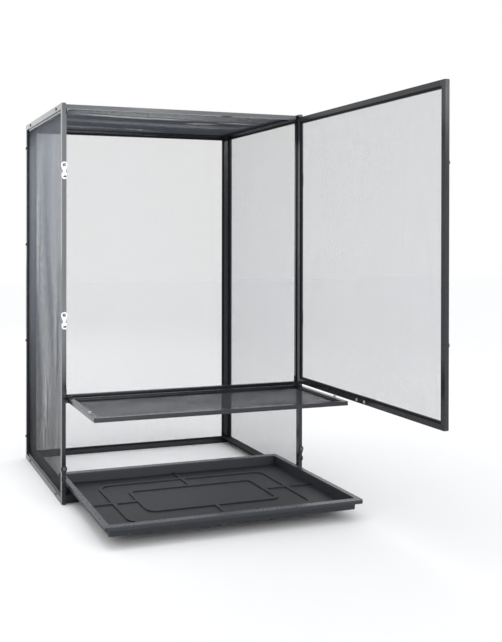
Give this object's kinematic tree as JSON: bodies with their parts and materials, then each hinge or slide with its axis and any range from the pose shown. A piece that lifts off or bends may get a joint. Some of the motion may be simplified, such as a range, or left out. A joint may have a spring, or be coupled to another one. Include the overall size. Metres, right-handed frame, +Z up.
{
  "type": "mesh reptile cage",
  "caption": "Upright mesh reptile cage with framed screen panels, an open front door, a raised lower flap and a pulled-out tray",
  "frame": {"origin": "on the floor, at the middle of the underside of the front sill", "axes": "X to the right seen from the front, the front faces -Y, Z up"},
  "size_m": [0.6089, 1.0355, 0.9],
  "materials": {
    "frame_metal": "dark grey anodised extrusion",
    "black_plastic": "moulded black nylon",
    "screen_cloth": "dark woven wire cloth, drawn as a thin sheet",
    "black_rubber": "black spline cord",
    "screw_steel": "zinc plated",
    "hinge_metal": "black coated steel",
    "bright_metal": "bright nickel plated steel",
    "tray_plastic": "black textured sheet"
  },
  "bodies": {
    "cage": {"left_front_post": "frame_metal", "left_rear_post": "frame_metal", "left_top_rail": "frame_metal", "left_bottom_rail": "frame_metal", "right_front_post": "frame_metal", "right_rear_post": "frame_metal", "right_top_rail": "frame_metal", "right_bottom_rail": "frame_metal", "back_left_stile": "frame_metal", "back_right_stile": "frame_metal", "back_top_rail": "frame_metal", "back_bottom_rail": "frame_metal", "top_left_rail": "frame_metal", "top_right_rail": "frame_metal", "top_front_rail": "frame_metal", "top_rear_rail": "frame_metal", "corner_blocks": "black_plastic", "left_screen": "screen_cloth", "right_screen": "screen_cloth", "back_screen": "screen_cloth", "top_screen": "screen_cloth", "left_spline": "black_rubber", "right_spline": "black_rubber", "back_spline": "black_rubber", "top_spline": "black_rubber", "front_sill": "frame_metal", "cross_rail": "frame_metal", "rail_end_plugs": "black_plastic", "tray_runners": "black_plastic", "door_stops": "frame_metal", "stop_end_caps": "black_plastic", "frame_screws": "screw_steel", "latch_screws": "screw_steel", "post_hinge_leaves": "hinge_metal", "door_hinge_pins": "bright_metal", "flap_hinge_blocks": "hinge_metal", "flap_hinge_pins": "hinge_metal"},
    "door": {"door_hinge_stile": "frame_metal", "door_free_stile": "frame_metal", "door_top_rail": "frame_metal", "door_bottom_rail": "frame_metal", "door_corner_blocks": "black_plastic", "door_screen": "screen_cloth", "door_spline": "black_rubber", "door_studs": "bright_metal", "door_hinge_leaves": "hinge_metal", "door_pull": "black_plastic", "door_pull_screws": "bright_metal"},
    "flap": {"flap_rails": "frame_metal", "flap_stiles": "frame_metal", "flap_corner_blocks": "black_plastic", "flap_screen": "screen_cloth", "flap_spline": "black_rubber", "flap_studs": "bright_metal", "flap_knuckles": "hinge_metal"},
    "tray": {"tray": "tray_plastic"},
    "upper_door_latch": {"upper_door_latch": "bright_metal"},
    "lower_door_latch": {"lower_door_latch": "bright_metal"},
    "left_flap_latch": {"left_flap_latch": "hinge_metal"},
    "right_flap_latch": {"right_flap_latch": "hinge_metal"}
  },
  "joints": [
    {"name": "door_hinge", "type": "hinge", "parent": "cage", "child": "door", "pos_m": [0.294, -0.0175, 0.57], "axis": [0, 0, 1], "range_deg": [-90, 80]},
    {"name": "flap_hinge", "type": "hinge", "parent": "cage", "child": "flap", "pos_m": [0, -0.0175, 0.242], "axis": [1, 0, 0], "range_deg": [0, 90]},
    {"name": "tray_slide", "type": "slide", "parent": "cage", "child": "tray", "axis": [0, 1, 0], "range_m": [0, 0.324]},
    {"name": "upper_door_latch_pivot", "type": "hinge", "parent": "cage", "child": "upper_door_latch", "pos_m": [-0.2955, -0.01605, 0.761], "axis": [0, -1, 0], "range_deg": [-90, 28.5]},
    {"name": "lower_door_latch_pivot", "type": "hinge", "parent": "cage", "child": "lower_door_latch", "pos_m": [-0.2955, -0.01605, 0.425], "axis": [0, -1, 0], "range_deg": [-90, 28.5]},
    {"name": "left_flap_latch_pivot", "type": "hinge", "parent": "cage", "child": "left_flap_latch", "pos_m": [-0.2955, -0.01605, 0.081], "axis": [0, -1, 0], "range_deg": [-90, 28.5]},
    {"name": "right_flap_latch_pivot", "type": "hinge", "parent": "cage", "child": "right_flap_latch", "pos_m": [0.2955, -0.01605, 0.081], "axis": [0, 1, 0], "range_deg": [-90, 28.5]}
  ],
  "couplings": [
    {"joint": "flap_hinge", "follows": "tray_slide", "rad_per_m": 4.847}
  ]
}
